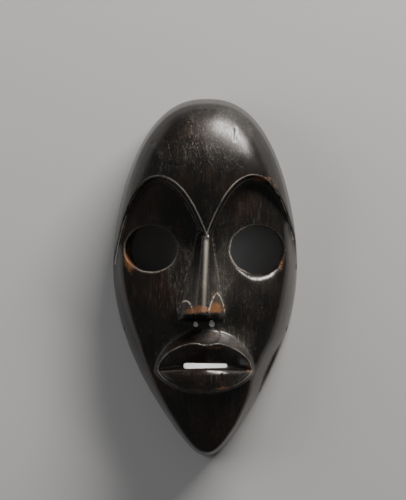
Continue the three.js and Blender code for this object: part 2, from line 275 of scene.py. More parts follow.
# The forehead, which bulges out in its middle
BULGE_Y = 0.53 * HALF_HEIGHT
BULGE_UPPER = 0.335
BULGE_LOWER = 0.28
BULGE_ACROSS = 0.594 * HALF_WIDTH
FOREHEAD_EDGE = 1.6
FOREHEAD_FILLET = 4
bulge_spread = np.where(Y2 > BULGE_Y, BULGE_UPPER, BULGE_LOWER) * HALF_HEIGHT
bulge = bell(X2, BULGE_ACROSS) * bell(Y2 - BULGE_Y, bulge_spread)
forehead_crest = FACE_RISE + FOREHEAD_BULGE * bulge
forehead_cap = height_field(gentle_front(forehead_crest, forehead_band, fall=0.25, power=8))
forehead_wall = steep_wall(forehead_band, FOREHEAD_WALL_TOP, share[:, :, None])
forehead = keep(forehead_cap, forehead_wall, FOREHEAD_EDGE)
forehead = join(forehead, face, FOREHEAD_FILLET)

# The brow line: two arches that rise from the nose and fall to the sides
BROW_TOP_X = 0.522 * HALF_WIDTH
BROW_TOP_Y = 0.569 * HALF_HEIGHT
BROW_ROOT_X = 1.0
BROW_ROOT_Y = 0.228 * HALF_HEIGHT
BROW_END_X = 1.02 * HALF_WIDTH
BROW_END_Y = 0.196 * HALF_HEIGHT
BROW_FALL = 2.3
LEFT_BROW_LOWER = 0.6
LEFT_BROW_SHORTER = 3
BROW_DRAFT = 0.12
BROW_REACH = 70
BROW_POINTS = 420
BROW_EDGE = 0.9
BROW_FILLET = 6.5


def brow_line(x):
    """The height in the front view of the two arches."""
    out = np.abs(x - BROW_ROOT_X * bell(x, BROW_TOP_X))
    top_y = np.where(x < 0, BROW_TOP_Y - LEFT_BROW_LOWER, BROW_TOP_Y)
    end_x = np.where(x < 0, BROW_END_X - LEFT_BROW_SHORTER, BROW_END_X)
    inner = mix(top_y, BROW_ROOT_Y, (1 - out / BROW_TOP_X) ** 2)
    past = np.maximum(0, (out - BROW_TOP_X) / (end_x - BROW_TOP_X))
    outer = mix(top_y, BROW_END_Y, past**BROW_FALL)
    return np.where(out < BROW_TOP_X, inner, outer)


def distance_above(line_x, line_y):
    """The distance from a line in the front view, which is negative below it."""
    nearest = np.full(X2.shape, np.inf)
    for x, y in zip(line_x, line_y):
        nearest = np.minimum(nearest, (X2 - x) ** 2 + (Y2 - y) ** 2)
    side = np.sign(Y2 - np.interp(X2, line_x, line_y))
    return side * np.sqrt(nearest)


brow_x = np.linspace(-BROW_REACH, BROW_REACH, BROW_POINTS)
brow_map = distance_above(brow_x, brow_line(brow_x))


def above_brow(setback):
    """How far inside the leaning wall of the brow each point is, with the wall set back by this much."""
    field = np.empty(X2.shape + zs.shape)
    for k, z in enumerate(zs):
        rows = np.arange(len(ys)) - (setback + BROW_DRAFT * (z - FACE_RISE)) / CELL
        rows = np.clip(rows, 0, len(ys) - LAST_ROW)
        low = rows.astype(int)
        field[:, :, k] = mix(brow_map[:, low], brow_map[:, low + 1], rows - low)
    return field


# The nose: a narrow flat ridge, tilted a little to the right, with flanks that sweep out to the cheeks
NOSE_ROOT_Y = 0.237 * HALF_HEIGHT
NOSE_BASE_Y = -0.202 * HALF_HEIGHT
NOSE_ROOT_RISE = FACE_RISE + 4
NOSE_TIP_RISE = FACE_RISE + 21
NOSE_SINK = 1.5
RIDGE_HALF = 1.7
RIDGE_TILT = 0.3
RIDGE_ROUND = 0.07
UNDERSIDE_DEPTH = 5.2
NOSE_BASE_EDGE = 0.9
NOSE_FILLET = 1.4
# From the root to the base of the nose: its middle line and its feet, as shares of half the mask's width
NOSE_MIDDLE = (0.013, -0.019)
LEFT_FOOT = (0.11, 0.294)
RIGHT_FOOT = (0.06, 0.228)
BRIDGE_CURVE = 0.85
ROOT_START = (-0.12, 0.02)
LEAST_PROUD = 1.6
NOSE_OVERRUN = 1.15
RIDGE_START = 0.1
PAST_FOOT = 1
PAST_ROOT = 4
FALL_OUTSIDE = 1.5
down_nose = (NOSE_ROOT_Y - Y2) / (NOSE_ROOT_Y - NOSE_BASE_Y)
along_nose = np.clip(down_nose, 0, NOSE_OVERRUN)
nose_x = mix(*NOSE_MIDDLE, along_nose) * HALF_WIDTH
left_foot = mix(*LEFT_FOOT, along_nose) * HALF_WIDTH
right_foot = mix(*RIGHT_FOOT, along_nose) * HALF_WIDTH
foot = np.where(X2 < nose_x, left_foot, right_foot)
proud = mix(NOSE_ROOT_RISE, NOSE_TIP_RISE, along_nose**BRIDGE_CURVE) - face_crest + NOSE_SINK
proud = proud * ramp(down_nose, *ROOT_START)
narrow = 1 / np.sqrt(np.log(np.maximum(proud / NOSE_SINK, LEAST_PROUD)))
beside = np.maximum(np.abs(X2 - nose_x) - RIDGE_HALF, 0)
flank = bell(beside / (foot - RIDGE_HALF), narrow)
nose_height = face_height - NOSE_SINK + proud * flank
across_ridge = np.clip(X2 - nose_x, -RIDGE_HALF, RIDGE_HALF)
ridge_fall = RIDGE_TILT * across_ridge + RIDGE_ROUND * across_ridge**2
nose_height = nose_height - ramp(down_nose, 0, RIDGE_START) * flank * ridge_fall
past_foot = np.maximum(0, np.abs(X2 - nose_x) - foot - PAST_FOOT)
past_root = np.maximum(0, Y2 - NOSE_ROOT_Y - PAST_ROOT)
nose_height = nose_height - FALL_OUTSIDE * (past_foot + past_root)

# Each wing of the nose is a low arch with a crisp edge, and the right one is pointed. Each has the place
# of its middle, its half width, its length, its step above the flank and the power that rounds its arch.
WINGS = ((-13.3, 4.9, 9.3, 2.0, 2.0), (8.0, 5.6, 14.5, 1.8, 1.5))
WING_SLOPE = (-0.08, 0.12)
WING_EDGE_AT = 0.97
# So far from an edge, no worn line is drawn
FAR = 9.0
from_wings = np.full(X2.shape, FAR)
for wing_x, wing_half, wing_length, wing_step, power in WINGS:
    across_wing = np.abs((X2 - wing_x) / wing_half)
    along_wing = np.abs((Y2 - NOSE_BASE_Y) / wing_length)
    arch = (across_wing**power + along_wing**power) ** (1 / power)
    nose_height = nose_height + wing_step * ramp(1 - arch, *WING_SLOPE)
    from_wings = np.minimum(from_wings, np.abs(arch - WING_EDGE_AT) * wing_half)

# The flat underside, which runs back towards the lips
LEAST_BASE = 3
nose = height_field(nose_height)
base_row = int(round((NOSE_BASE_Y - ys[0]) / CELL))
base_edge = nose_height[:, base_row][:, None, None]
base_step = np.maximum(base_edge - face_height[:, base_row][:, None, None], LEAST_BASE)
underside_slope = UNDERSIDE_DEPTH / base_step
underside = (Y - NOSE_BASE_Y - underside_slope * (Z - base_edge)) / np.hypot(1, underside_slope)
nose = keep(nose, underside, NOSE_BASE_EDGE)

# The mouth: a lens with a sharp edge that stands on a flared muzzle, and a groove between the lips.
# Places across it are shares of its half width, from -1 at the left corner to 1 at the right one.
MOUTH_X = -0.005 * HALF_WIDTH
MOUTH_Y = -0.517 * HALF_HEIGHT
MOUTH_HALF = 0.506 * HALF_WIDTH
LIP_RISE = FACE_RISE + 16
LIP_CORNER_RISE = FACE_RISE - 4
UPPER_LIP = 0.157 * HALF_HEIGHT
UPPER_LIP_ROUND = 0.52
LIP_DIP = 0.018 * HALF_HEIGHT
LIP_DIP_AT = 0.024
LIP_DIP_SPREAD = 0.178
LOWER_LIP = 0.123 * HALF_HEIGHT
LOWER_LIP_ROUND = 0.68
SKIRT_HALF = 0.541 * HALF_WIDTH
SKIRT_UPPER = 0.253 * HALF_HEIGHT
SKIRT_LOWER = 0.3
SKIRT_SINK = 1.5
SKIRT_LEAST = (0.4, 1.2)
SKIRT_LEAST_Y = (-70, -60)
SKIRT_CURVE_ABOVE = 1.5
SKIRT_CURVE_BELOW = 1.15
SKIRT_FALL_OUTSIDE = 2.5
MOUTH_POINTS = 1441


def upper_lip(across):
    """The height in the front view of the upper lip's edge, with a dip in its middle."""
    dip = LIP_DIP * bell(across - LIP_DIP_AT, LIP_DIP_SPREAD)
    return MOUTH_Y + UPPER_LIP * (1 - across * across) ** UPPER_LIP_ROUND - dip


def lower_lip(across):
    return MOUTH_Y - LOWER_LIP * (1 - across * across) ** LOWER_LIP_ROUND


def lip_edge_rise(across):
    return mix(LIP_RISE, LIP_CORNER_RISE, across * across)


turn = np.linspace(-math.pi, math.pi, MOUTH_POINTS)
turn_across = np.cos(turn)
lip_y = np.where(turn >= 0, upper_lip(turn_across), lower_lip(turn_across)) - MOUTH_Y
skirt_up = SKIRT_UPPER * np.abs(np.sin(turn))
skirt_y = np.where(turn >= 0, skirt_up, lip_y - SKIRT_LOWER)

mouth_angle = np.arctan2(Y2 - MOUTH_Y, X2 - MOUTH_X)
mouth_out = np.hypot(X2 - MOUTH_X, Y2 - MOUTH_Y)


def reach_towards(angle, px, py):
    """How far the closed line through these points is from the mouth's middle, at each angle."""
    return np.interp(angle, np.arctan2(py, px), np.hypot(px, py), period=2 * math.pi)


to_lip = reach_towards(mouth_angle, MOUTH_HALF * turn_across, lip_y)
to_skirt = reach_towards(mouth_angle, SKIRT_HALF * turn_across, skirt_y)
to_skirt = np.maximum(to_skirt, to_lip + mix(*SKIRT_LEAST, ramp(Y2, *SKIRT_LEAST_Y)))
edge_across = np.clip(to_lip * np.cos(mouth_angle) / MOUTH_HALF, -1, 1)
flare = np.clip((to_skirt - mouth_out) / (to_skirt - to_lip), 0, 1)
skirt_curve = np.where(mouth_angle > 0, SKIRT_CURVE_ABOVE, SKIRT_CURVE_BELOW)
skirt_height = mix(face_height - SKIRT_SINK, lip_edge_rise(edge_across), flare**skirt_curve)
skirt_height = skirt_height - SKIRT_FALL_OUTSIDE * np.maximum(0, mouth_out - to_skirt)

# The groove between the lips is deepest in the middle, and deeper again near the right corner
GROOVE_BOW = 0.026 * HALF_HEIGHT
GROOVE_DEPTH = 10
GROOVE_CORNER_DEPTH = 3
GROOVE_RIGHT = 3.5
GROOVE_RIGHT_AT = 0.72
GROOVE_RIGHT_SPREAD = 0.22
LEAST_LIP = 0.3
UPPER_LIP_CURVE = 1.3
NEAR_CORNER = 0.9995
# The lower lip rolls out of the groove, swells and falls a little before its edge. Places are shares of
# the way down from the groove, and heights are shares of the groove's depth.
ROLL_HEIGHT = 0.76
ROLL_END = 0.2
SWELL_HEIGHT = 0.24
SWELL_FROM = (0.06, 0.4)
LIP_FALL = 0.09
LIP_FALL_FROM = (0.5, 0.9)
mouth_across = np.clip((X2 - MOUTH_X) / MOUTH_HALF, -NEAR_CORNER, NEAR_CORNER)
groove_y = MOUTH_Y + GROOVE_BOW * (1 - mouth_across * mouth_across)
groove_depth = mix(GROOVE_DEPTH, GROOVE_CORNER_DEPTH, mouth_across * mouth_across)
groove_depth = groove_depth + GROOVE_RIGHT * bell(mouth_across - GROOVE_RIGHT_AT, GROOVE_RIGHT_SPREAD)
lip_rise = lip_edge_rise(mouth_across)
up = np.clip((Y2 - groove_y) / np.maximum(upper_lip(mouth_across) - groove_y, LEAST_LIP), 0, 1)
down = np.clip((groove_y - Y2) / np.maximum(groove_y - lower_lip(mouth_across), LEAST_LIP), 0, 1)
upper_face = up**UPPER_LIP_CURVE
rolled = ROLL_HEIGHT * (1 - (1 - np.minimum(down / ROLL_END, 1)) ** 2)
lower_face = rolled + SWELL_HEIGHT * ramp(down, *SWELL_FROM) - LIP_FALL * ramp(down, *LIP_FALL_FROM)
lens_height = mix(lip_rise - groove_depth, lip_rise, np.where(Y2 > groove_y, upper_face, lower_face))
muzzle = height_field(np.where(mouth_out < to_lip, lens_height, skirt_height))

# The front of the block, all joined, and a little uneven as a carved surface is
MUZZLE_FILLET = 1.8
BROAD_UNEVEN = 0.2
FINE_UNEVEN = 0.05
front = join(face, keep(forehead, above_brow(0), BROW_EDGE), BROW_FILLET)
front = join(front, muzzle, MUZZLE_FILLET)
front = join(front, nose, NOSE_FILLET)
uneven = BROAD_UNEVEN * soft_noise(24, seed=3) + FINE_UNEVEN * soft_noise(7, seed=4)
front = front + uneven[:, :, None]

# Small knocks in the surface: place, radius and depth
KNOCKS = (
    (-2.2, -71.7, 1.4, 0.7),
    (-35.8, 91.6, 1.2, 0.5),
    (44, -24, 1.0, 0.4),
    (5, -104, 2.2, 0.5),
)
for x, y, radius, depth in KNOCKS:
    front = front - (depth * bell(np.hypot(X2 - x, Y2 - y), radius))[:, :, None]

# A worn facet under the nose, with a rounded lower border
PATCH_X = 3.6
PATCH_Y = -39
PATCH_HALF_X = 7
PATCH_HALF_Y = 6.5
PATCH_DEPTH = 0.5
PATCH_BORDER = 0.12
in_patch = 1 - np.hypot((X2 - PATCH_X) / PATCH_HALF_X, (Y2 - PATCH_Y) / PATCH_HALF_Y)
front = front - (PATCH_DEPTH * ramp(in_patch, 0, PATCH_BORDER))[:, :, None]

# Short drying cracks: where each starts and ends
CRACKS = ((21.1, 102, 20.4, 94), (11.4, -66.5, 11.0, -72), (-24.5, 77, -17.5, 76.2))
CRACK_HALF = 0.7
CRACK_DEPTH = 0.45
for x0, y0, x1, y1 in CRACKS:
    run = ((X2 - x0) * (x1 - x0) + (Y2 - y0) * (y1 - y0)) / ((x1 - x0) ** 2 + (y1 - y0) ** 2)
    run = np.clip(run, 0, 1)
    off = np.hypot(X2 - mix(x0, x1, run), Y2 - mix(y0, y1, run))
    front = front - (CRACK_DEPTH * bell(off, CRACK_HALF))[:, :, None]

# The block ends at the outline and at the plane of the rim
OUTLINE_EDGE = 0.6
RIM_EDGE = 1.2
within_outline = level(np.repeat((1 - share)[:, :, None], len(zs), axis=2))
front = keep(front, within_outline, OUTLINE_EDGE)
front = keep(front, Z + 0 * X, RIM_EDGE)

# The hollow behind, cut with a gouge. Two bowls in it lie behind the mouth and the nose: the middle, half
# width, half height and depth of each.
BOWLS = ((-0.3, -61.2, 24, 14.7, 14), (-0.6, -7.4, 8.2, 20.8, 8))
HOLLOW_POWER = 3
FOREHEAD_HOLLOW_POWER = 7
HOLLOW_FILLET = 3
BOWL_FILLET = 2
GOUGE_WIDTH = 7
GOUGE_LENGTH = 19
GOUGE_DEPTH = 0.45
STROKE_SWAY = 0.35
STROKE_SHIFT = 0.3
STROKE_SIDES = 4
STROKE_ENDS = 1.6
shrink_x = 1 - RIM_WALL / HALF_WIDTH
shrink_y = 1 - RIM_WALL / (HALF_HEIGHT - CENTRE_Y)
inner_share = out_share((X2 - lean(Y2)) / shrink_x, CENTRE_Y + (Y2 - CENTRE_Y) / shrink_y)
hollow = dome(np.full(X2.shape, float(HOLLOW_RISE)), inner_share, HOLLOW_POWER)
forehead_hollow = dome(forehead_crest - FACE_WALL, inner_share, FOREHEAD_HOLLOW_POWER)
forehead_hollow = keep(forehead_hollow, above_brow(FACE_WALL), HOLLOW_FILLET)
hollow = join(hollow, forehead_hollow, HOLLOW_FILLET)
for bowl_x, bowl_y, bowl_half, bowl_high, bowl_rise in BOWLS:
    away = ((X - bowl_x) / bowl_half) ** 2 + ((Y - bowl_y) / bowl_high) ** 2
    bowl = level(1 - np.sqrt(away + ((Z - HOLLOW_RISE) / bowl_rise) ** 2))
    hollow = join(hollow, bowl, BOWL_FILLET)
# Every second row of gouge strokes is set half a stroke along
stroke = X2 / GOUGE_WIDTH + STROKE_SWAY * soft_noise(20, seed=5)
row = Y2 / GOUGE_LENGTH + 0.5 * (np.floor(stroke) % 2) + STROKE_SHIFT * soft_noise(15, seed=6)
gouged = STROKE_SIDES * (stroke % 1 - 0.5) ** 2 + STROKE_ENDS * (row % 1 - 0.5) ** 2
hollow = hollow - GOUGE_DEPTH * gouged[:, :, None]

# The eye openings widen towards the front: the middle and the half sizes of each, there and at the back
EYES = (
    {"x": -37.0, "y": 19.7, "half": (17.8, 15.5), "back_x": -34.2, "back_half": (15.0, 14.7)},
    {"x": 35.5, "y": 19.2, "half": (18.3, 16.2), "back_x": 34.8, "back_half": (17.4, 15.6)},
)
WIDEN_FROM = 0.35 * FACE_RISE
WIDEN_TO = 0.66 * FACE_RISE
EYE_RAGGED = 0.012
EYE_SEED = 20
widening = ramp(Z, WIDEN_FROM, WIDEN_TO)


def eye_opening(eye, seed):
    """An oval bore with a slightly ragged edge."""
    half_x, half_y = (mix(back, half, widening) for back, half in zip(eye["back_half"], eye["half"]))
    out_x = (X - mix(eye["back_x"], eye["x"], widening)) / half_x
    out_y = (Y - eye["y"]) / half_y
    ragged = EYE_RAGGED * soft_noise(5, seed)[:, :, None]
    return level(1 - np.sqrt(out_x**2 + out_y**2) + ragged)


openings = [eye_opening(eye, EYE_SEED + number) for number, eye in enumerate(EYES)]

# The wood round the eyes is worn, most of all where the right one has a rolled lower lid
LID_X = 44
LID_SPREAD = 27
LID_Y = (20, -2)
LEFT_WEAR = 1.5
RIGHT_WEAR = 1.2
LID_WEAR = 8.5
lid = bell(X2 - LID_X, LID_SPREAD) * ramp(Y2, *LID_Y)
eye_wear = (np.full(X2.shape, LEFT_WEAR), RIGHT_WEAR + LID_WEAR * lid)

# The slit between the lips: the place and the half height of each end. It and the nostrils are cut only
# in front of the hollow.
SLIT_LEFT = (-12.9, 1.85)
SLIT_RIGHT = (13.7, 1.3)
NOSTRILS = ((-6.6, -32.1, 1.7), (4.6, -31.9, 2.0))
NOSTRIL_RAGGED = 0.5
HOLLOW_EDGE = 1.6
BORE_EDGE = 0.8
BORES_START = 20
slit_y = MOUTH_Y + GROOVE_BOW
slit_at = np.clip((X2 - SLIT_LEFT[0]) / (SLIT_RIGHT[0] - SLIT_LEFT[0]), 0, 1)
slit_x = mix(SLIT_LEFT[0], SLIT_RIGHT[0], slit_at)
slit = mix(SLIT_LEFT[1], SLIT_RIGHT[1], slit_at) - np.hypot(X2 - slit_x, Y2 - slit_y)
ragged = NOSTRIL_RAGGED * soft_noise(2, seed=30)
nostrils = [radius + ragged - np.hypot(X2 - x, Y2 - y) for x, y, radius in NOSTRILS]

wood = cut(front, hollow, HOLLOW_EDGE)
for opening, worn in zip(openings, eye_wear):
    wood = cut(wood, opening, worn[:, :, None])
for bore in (slit, *nostrils):
    wood = np.where(Z > BORES_START, cut(wood, bore[:, :, None], BORE_EDGE), wood)

# Tie holes run through the rim's wall, square to the outline. Each is cut in a small block of the grid.
TIE_HOLES = 5
TIE_SPAN = (-0.62, 0.74)
TIE_RISE = 9
TIE_RADIUS = 1.5
TIE_BLOCK_X = 14
TIE_BLOCK_Y = 10
TIE_BLOCK_Z = 20
for side in (-1, 1):
    for i in range(TIE_HOLES):
        y = mix(*TIE_SPAN, i / (TIE_HOLES - 1)) * HALF_HEIGHT
        slope = float(outline_half(y + 1) - outline_half(y - 1)) / 2
        x = float(lean(y) + side * (outline_half(y) - RIM_WALL / 2))
        near = (np.abs(X2 - x) < TIE_BLOCK_X) & (np.abs(Y2 - y) < TIE_BLOCK_Y)
        i0, i1 = np.flatnonzero(near.any(axis=1))[[0, -1]]
        j0, j1 = np.flatnonzero(near.any(axis=0))[[0, -1]]
        block = (slice(i0, i1 + 1), slice(j0, j1 + 1), slice(0, int(TIE_BLOCK_Z / CELL)))
        off_axis = ((Y - y) + side * slope * (X - x)) / math.hypot(1, slope)
        bore = TIE_RADIUS - np.hypot(off_axis, Z - TIE_RISE)
        wood[block] = cut(wood[block], bore[block], BORE_EDGE)


def sample(field, points):
    """The field's value at points between the grid's own, from the eight around each."""
    at = (points - [xs[0], ys[0], zs[0]]) / CELL
    at = np.clip(at, 0, np.array(field.shape) - LAST_ROW)
    i, j, k = at.astype(int).T
    s, t, r = (at - at.astype(int)).T
    value = 0
    for di, ws in ((0, 1 - s), (1, s)):
        for dj, wt in ((0, 1 - t), (1, t)):
            for dk, wr in ((0, 1 - r), (1, r)):
                value = value + ws * wt * wr * field[i + di, j + dj, k + dk]
    return value


# The mesh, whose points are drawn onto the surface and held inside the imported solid's box
DRAW_STEPS = 2
DRAW_SHARE = 0.8
LONGEST_DRAW = 0.5
LEAST_SQUARED_SLOPE = 0.05
volume = openvdb.FloatGrid(FIELD_LIMIT)
volume.copyFromArray(-wood.astype(np.float32))
points, _, quads = volume.convertToPolygons(0.0, 0.0)
points = points * CELL + [xs[0], ys[0], zs[0]]
gradients = np.gradient(wood, CELL)


def slope_at(points):
    """The field's slope at each point, along each axis."""
    return np.stack([sample(g, points) for g in gradients], axis=1)


for _ in range(DRAW_STEPS):
    slope = slope_at(points)
    squared_slope = np.maximum((slope**2).sum(axis=1), LEAST_SQUARED_SLOPE)
    step = np.clip(sample(wood, points) / squared_slope, -LONGEST_DRAW, LONGEST_DRAW)
    points = points - DRAW_SHARE * step[:, None] * slope
points = np.clip(points * MM, cad_low, cad_high)

mesh = bpy.data.meshes.new("carved_mask")
mesh.from_pydata(points, [], quads.tolist())
mesh.update()
mask = bpy.data.objects.new("carved_mask", mesh)
bpy.context.scene.collection.objects.link(mask)
top = max(mesh.polygons, key=lambda p: p.center.z)
if top.normal.z < 0:
    mesh.flip_normals()

# The same surface in fewer triangles, shaded by the field's own slope
TRIANGLES_KEPT = 196000
SHORTEST_NORMAL = 1e-6
thin_out = mask.modifiers.new("thin_out", "DECIMATE")
thin_out.ratio = TRIANGLES_KEPT / (2 * len(quads))
bpy.context.view_layer.objects.active = mask
bpy.ops.object.modifier_apply(modifier="thin_out")
mesh = mask.data
mesh.shade_smooth()
places = np.empty(3 * len(mesh.vertices))
mesh.vertices.foreach_get("co", places)
places = places.reshape(-1, 3) / MM
place_x, place_y, place_z = places.T
slope = slope_at(places)
normals = -slope / np.maximum(np.linalg.norm(slope, axis=1, keepdims=True), SHORTEST_NORMAL)
mesh.normals_split_custom_set_from_vertices(normals.tolist())


# What the material needs to know at each point of the surface
def on_surface(flat_map):
    """A map over the face, read at each point of the mesh."""
    at = (places[:, :2] - [xs[0], ys[0]]) / CELL
    at = np.clip(at, 0, np.array(flat_map.shape) - LAST_ROW)
    i, j = at.astype(int).T
    s, t = (at - at.astype(int)).T
    low = mix(flat_map[i, j], flat_map[i + 1, j], s)
    high = mix(flat_map[i, j + 1], flat_map[i + 1, j + 1], s)
    return mix(low, high, t)


def spots(list_of_spots):
    """Soft oval spots: centre, half width, half height and strength of each."""
    total = 0
    for x, y, half_x, half_y, strength in list_of_spots:
        away = ((place_x - x) / half_x) ** 2 + ((place_y - y) / half_y) ** 2
        total = total + strength * np.exp(-away)
    return total


def keep_attribute(name, values):
    layer = mesh.attributes.new(name, "FLOAT", "POINT")
    layer.data.foreach_set("value", values.astype(np.float32))


# Edges and creases are where the surface bends sharply, outwards or inwards. The hollow isn't seen.
EDGE_BEND = (0.22, 0.8)
CREASE_BEND = (-0.12, -0.5)
HOLLOW_SKIN = 2
FRONT_STARTS = 20
steepness = np.sqrt(sum(g * g for g in gradients)) + LEAST_SLOPE
bend = -sum(np.gradient(g / steepness, CELL, axis=n) for n, g in enumerate(gradients))
bending = sample(bend, places)
seen = np.where(sample(hollow, places) > -HOLLOW_SKIN, 0.0, 1.0)
on_front = (seen > 0) & (place_z > FRONT_STARTS)
edge = ramp(bending, *EDGE_BEND)
crease = ramp(bending, *CREASE_BEND)

# Where the wood is bare, where the patina is pale with dust and scratches, and where a painted sheen with
# some dust lightens it. The pale spots beside the nose and on the right of the upper lip are painted
# sheen as well.
BARE_SPOTS = (
    (36.2, 67.6, 9, 2.6, 0.9),
    (47, 61, 4, 4, 0.5),
    (-52.5, 14, 3.4, 8, 1.0),
    (-49, 7, 3, 5, 0.6),
    (-22, 34, 6, 4, 0.5),
    (51.5, 11, 2.6, 8, 0.7),
    (45, 4.5, 6, 2.4, 0.45),
    (-3, -22, 15, 2.6, 0.9),
    (-3, -20.5, 3, 2.5, 0.9),
    (8.5, -19.5, 4.5, 3.5, 0.9),
    (5.4, -11, 1.8, 3.2, 0.8),
    (-11, -23.6, 4, 1.3, 0.6),
    (8.5, -47.8, 11, 1.5, 0.9),
    (29.6, -61.5, 1.8, 5, 0.8),
    (24, -54, 3, 3, 0.45),
    (11.9, -76, 7, 2.2, 0.7),
    (4, -40, 6, 5, 0.35),
    (13, -36, 4, 3, 0.4),
)
PALE_SPOTS = (
    (-15, 6, 7, 20, 0.9),
    (-24, 8, 5, 10, 0.7),
    (13, 4, 7, 20, 0.75),
    (19, 30, 8, 14, 0.35),
    (30, 42, 14, 14, 0.3),
    (-20, -12, 14, 14, 0.4),
    (28, -14, 12, 14, 0.35),
    (3, 94, 17, 18, 0.75),
    (18, 104, 15, 14, 0.6),
    (-22, 80, 10, 12, 0.15),
    (-2.2, -71.7, 1.6, 1.6, 0.8),
    (6, 45, 8, 16, 0.3),
    (22, -44, 10, 9, 1.0),
    (28, -54, 4, 8, 0.8),
    (14, -36, 8, 5, 0.9),
    (3, -41, 8, 5, 0.9),
    (-29, -50, 5, 8, 0.4),
    (13, 4, 6, 18, 0.9),
    (8, -10, 5, 14, 0.9),
    (-8, -8, 4, 15, 0.6),
    (8, -70, 14, 5, 0.35),
)
# Painted sheen, with a little dust: beside the nose, on the upper lip and under the right eye
SHEEN_AND_DUST_SPOTS = (
    (14, 4, 7, 20, 1.0),
    (8, -10, 5, 14, 1.0),
    (-8, -8, 4, 15, 0.6),
    (22, -43, 9, 7, 0.9),
    (4, -40, 7, 5, 1.0),
    (35, -4, 16, 6, 0.4),
)
for name, list_of_spots in (("bare", BARE_SPOTS), ("pale", PALE_SPOTS), ("sheen_and_dust", SHEEN_AND_DUST_SPOTS)):
    keep_attribute(name, np.minimum(spots(list_of_spots), 1) * seen)
keep_attribute("edge", edge * seen)
keep_attribute("crease", crease * seen)
keep_attribute("inside", 1 - seen)

# The brow's edge is worn lighter, least of all on the right one's inner side. Each stretch has its
# middle, its spread and how much it adds.
BROW_WORN = 0.85
BROW_STRETCHES = ((-18, 14, 0.15), (30, 10, 0.15), (9, 8, -0.5))
brow_shine = BROW_WORN + sum(more * bell(place_x - x, spread) for x, spread, more in BROW_STRETCHES)
keep_attribute("brow_shine", brow_shine)

# A painted highlight along the ridge of the nose, brightest towards its root
RIDGE_HIGHLIGHT_ASIDE = 0.2
RIDGE_HIGHLIGHT_SPREAD = 1.15
RIDGE_HIGHLIGHT_FROM = (0.03, 0.1)
RIDGE_HIGHLIGHT_TO = (1.02, 0.95)
RIDGE_HIGHLIGHT_LESS = 0.45
RIDGE_HIGHLIGHT_LESS_FROM = (0.4, 1)
ridge_highlight = bell(place_x - on_surface(nose_x) - RIDGE_HIGHLIGHT_ASIDE, RIDGE_HIGHLIGHT_SPREAD) * (place_z > FACE_RISE)
down_ridge = on_surface(down_nose)
ridge_highlight = ridge_highlight * ramp(down_ridge, *RIDGE_HIGHLIGHT_FROM) * ramp(down_ridge, *RIDGE_HIGHLIGHT_TO)
keep_attribute("ridge", ridge_highlight * (1 - RIDGE_HIGHLIGHT_LESS * ramp(down_ridge, *RIDGE_HIGHLIGHT_LESS_FROM)))

# Distances in millimetres from the brow's edge, the edge of the lips and the foot and wings of the nose
LEDGE_CLEAR = 0.7
from_brow = on_surface(brow_map) - BROW_DRAFT * (place_z - FACE_RISE)
on_ledge = on_front & (sample(face, places) < -LEDGE_CLEAR)
beside_nose = on_front & (place_y < NOSE_ROOT_Y) & (place_y > NOSE_BASE_Y)
from_foot = np.abs(np.abs(X2 - nose_x) - foot)
keep_attribute("from_brow", np.where(on_ledge, from_brow, FAR))
keep_attribute("from_lips", np.where(on_front, on_surface(mouth_out - to_lip), FAR))
keep_attribute("from_foot", np.where(beside_nose, on_surface(from_foot), FAR))
keep_attribute("from_wings", np.where(beside_nose, on_surface(from_wings), FAR))

# The rims of the eyes, worn lighter and with a painted highlight: how bright, which way each is
# brightest, and how far round, in degrees
RIMS = ((0.5, -140, 130), (0.9, 180, 95))
RIM_OUT = 0.45
RIM_SPREAD = 0.5
RIM_DEPTH = 4
rim = np.zeros(len(places))
for opening, eye, (bright, brightest_way, spread) in zip(openings, EYES, RIMS):
    way = np.degrees(np.arctan2(place_y - eye["y"], place_x - eye["x"])) - brightest_way
    off_brightest_way = np.abs((way + 180) % 360 - 180)
    near_rim = bell(sample(opening, places) + RIM_OUT, RIM_SPREAD)
    near_rim = near_rim * (place_z > on_surface(face_height) - RIM_DEPTH)
    rim = rim + bright * near_rim * ramp(off_brightest_way, spread, 0.5 * spread)
keep_attribute("rim", np.minimum(rim, 1) * seen)

# The material: near-black patina over red-brown wood
material = bpy.data.materials.new("mask_wood")
material.use_nodes = True
tree = material.node_tree
shader = tree.nodes["Principled BSDF"]
place = tree.nodes.new("ShaderNodeTexCoord").outputs["Object"]


def attribute(name):
    node = tree.nodes.new("ShaderNodeAttribute")
    node.attribute_name = name
    return node.outputs["Fac"]


def stretched(source, per_mm, angle=0.0):
    """The place on the mask, as counts of a pattern's features across, along and out."""
    node = tree.nodes.new("ShaderNodeMapping")
    node.inputs["Scale"].default_value = [count / MM for count in per_mm]
    node.inputs["Rotation"].default_value[2] = math.radians(angle)
    tree.links.new(source, node.inputs["Vector"])
    return node.outputs["Vector"]


def noise(per_mm, detail=3.0, angle=0.0):
    node = tree.nodes.new("ShaderNodeTexNoise")
    node.inputs["Scale"].default_value = 1.0
    node.inputs["Detail"].default_value = detail
    tree.links.new(stretched(place, per_mm, angle), node.inputs["Vector"])
    return node.outputs["Fac"]


def calculate(kind, *values):
    node = tree.nodes.new("ShaderNodeMath")
    node.operation = kind
    for socket, value in zip(node.inputs, values):
        if isinstance(value, (int, float)):
            socket.default_value = value
        else:
            tree.links.new(value, socket)
    return node.outputs["Value"]


def rise(value, start, end, top=1.0):
    """From 0 at start to top at end."""
    node = tree.nodes.new("ShaderNodeMapRange")
    node.interpolation_type = "SMOOTHSTEP"
    node.inputs["From Min"].default_value = start
    node.inputs["From Max"].default_value = end
    node.inputs["To Max"].default_value = top
    tree.links.new(value, node.inputs["Value"])
    return node.outputs["Result"]


def times(*values):
    result = values[0]
    for value in values[1:]:
        result = calculate("MULTIPLY", result, value)
    return result


def plus(*values):
    result = values[0]
    for value in values[1:]:
        result = calculate("ADD", result, value)
    return result


